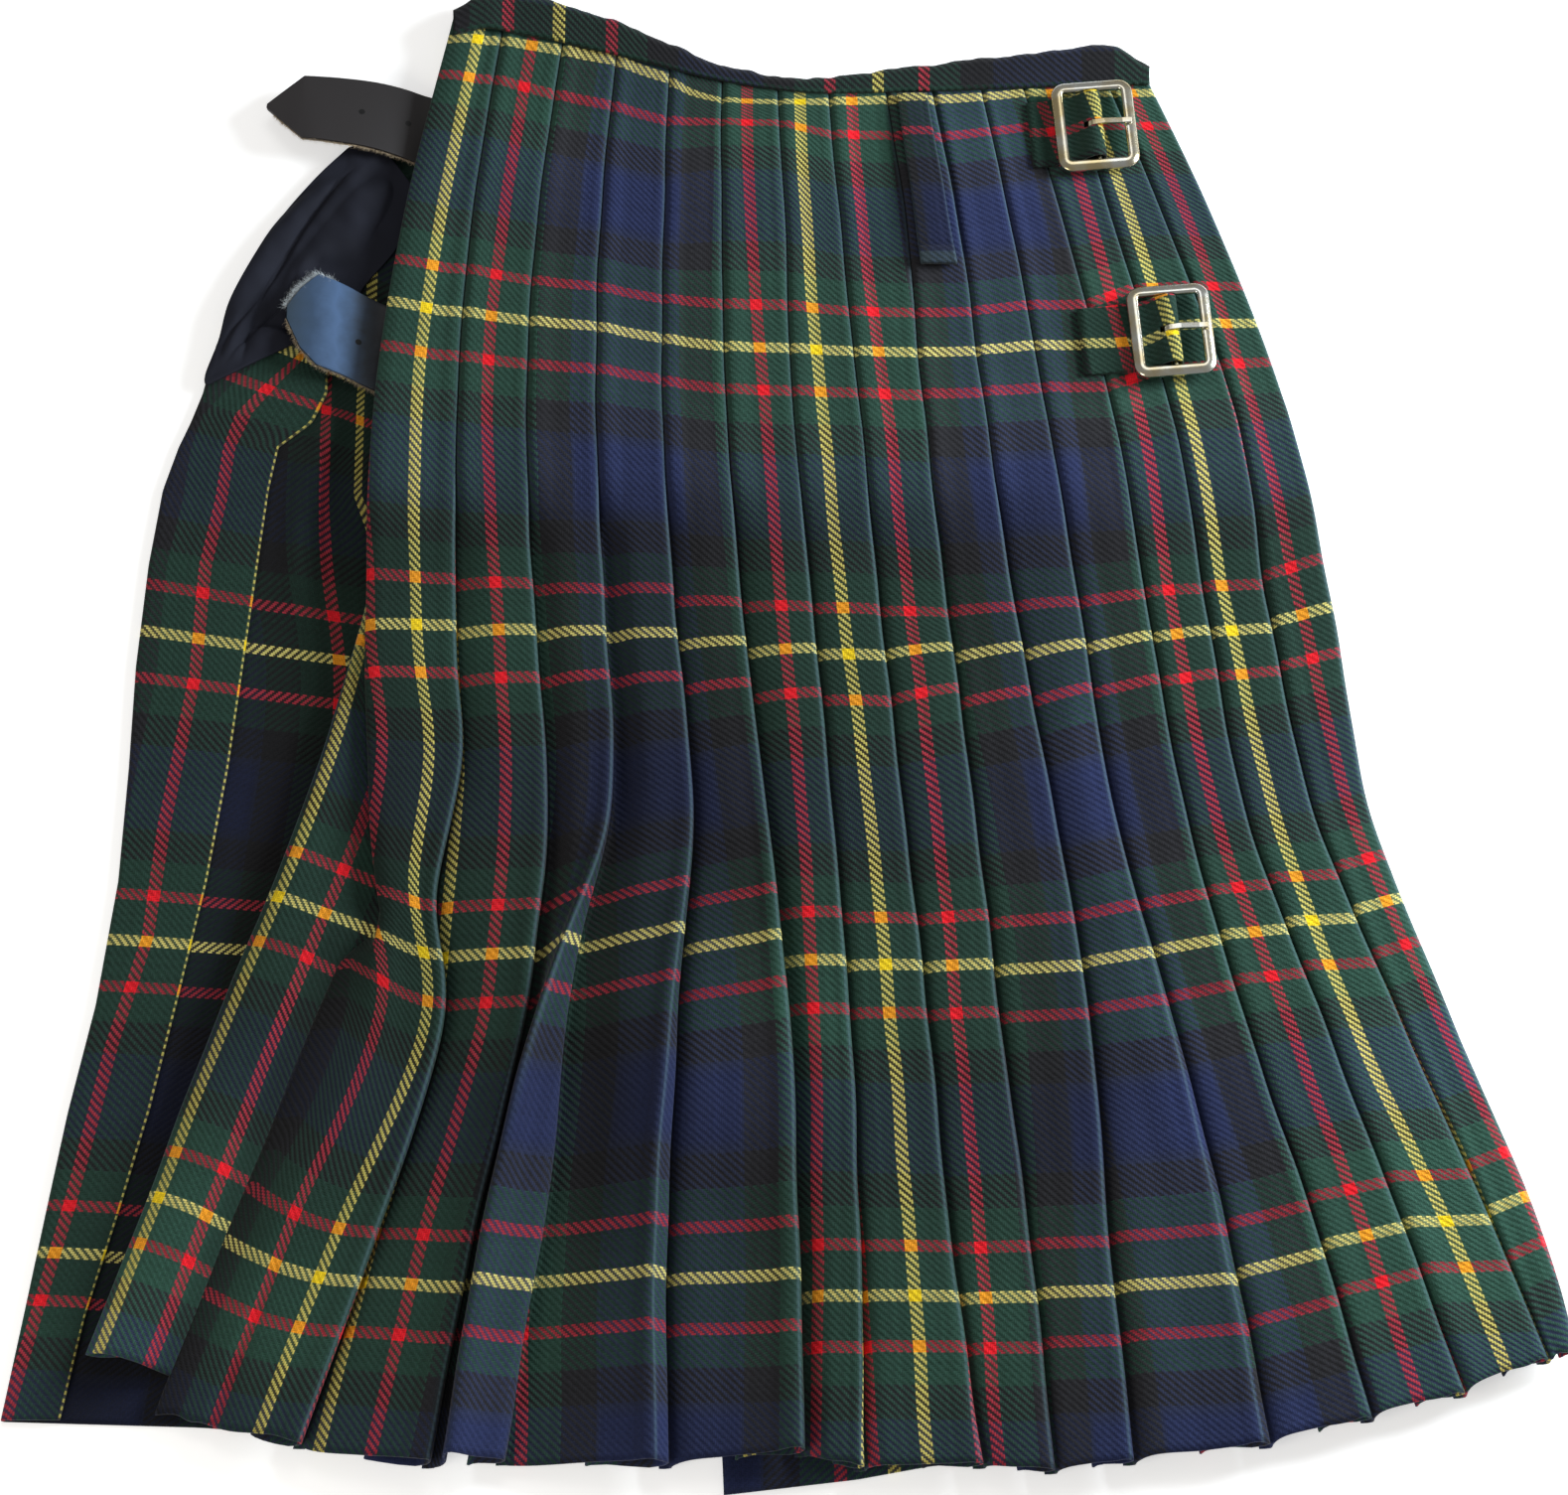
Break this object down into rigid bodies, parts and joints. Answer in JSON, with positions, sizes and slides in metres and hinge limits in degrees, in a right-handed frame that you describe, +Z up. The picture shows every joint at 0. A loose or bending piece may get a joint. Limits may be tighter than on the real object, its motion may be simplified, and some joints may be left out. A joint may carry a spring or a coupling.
{
  "type": "scottish kilt",
  "caption": "Knife-pleated tartan kilt laid flat on its aprons, pleated back up, with leather straps, buckles on cloth tabs and a belt loop.",
  "frame": {"origin": "middle of the footprint, on the surface that the kilt lies on", "axes": "+Z up out of the surface, +Y from hem to waist, +X to the viewer's right seen from the hem"},
  "size_m": [0.5343, 0.5808, 0.0187],
  "materials": {
    "tartan": "wool twill, green, black and blue checks with red and yellow lines",
    "lining_cotton": "plain dark navy cotton",
    "leather": "dark leather with raw fuzzy edges",
    "buckle_metal": "polished silvery metal with a warm tint"
  },
  "bodies": {
    "kilt": {"over_apron": "tartan", "under_apron": "tartan", "pleated_back": "tartan", "waistband": "tartan", "belt_loop": "tartan", "buckle_tab_upper": "tartan", "buckle_tab_lower": "tartan", "lining": "lining_cotton", "strap_upper": "leather", "strap_lower": "leather", "buckle_frame_upper": "buckle_metal", "buckle_frame_lower": "buckle_metal"},
    "upper_prong": {"buckle_prong_upper": "buckle_metal"},
    "lower_prong": {"buckle_prong_lower": "buckle_metal"}
  },
  "joints": [
    {"name": "upper_prong_swing", "type": "hinge", "parent": "kilt", "child": "upper_prong", "pos_m": [0.11235, 0.2316, 0.0135], "axis": [0.0872, -0.9962, 0], "range_deg": [0, 100]},
    {"name": "lower_prong_swing", "type": "hinge", "parent": "kilt", "child": "lower_prong", "pos_m": [0.13835, 0.1466, 0.014], "axis": [0.0872, -0.9962, 0], "range_deg": [0, 100]}
  ]
}
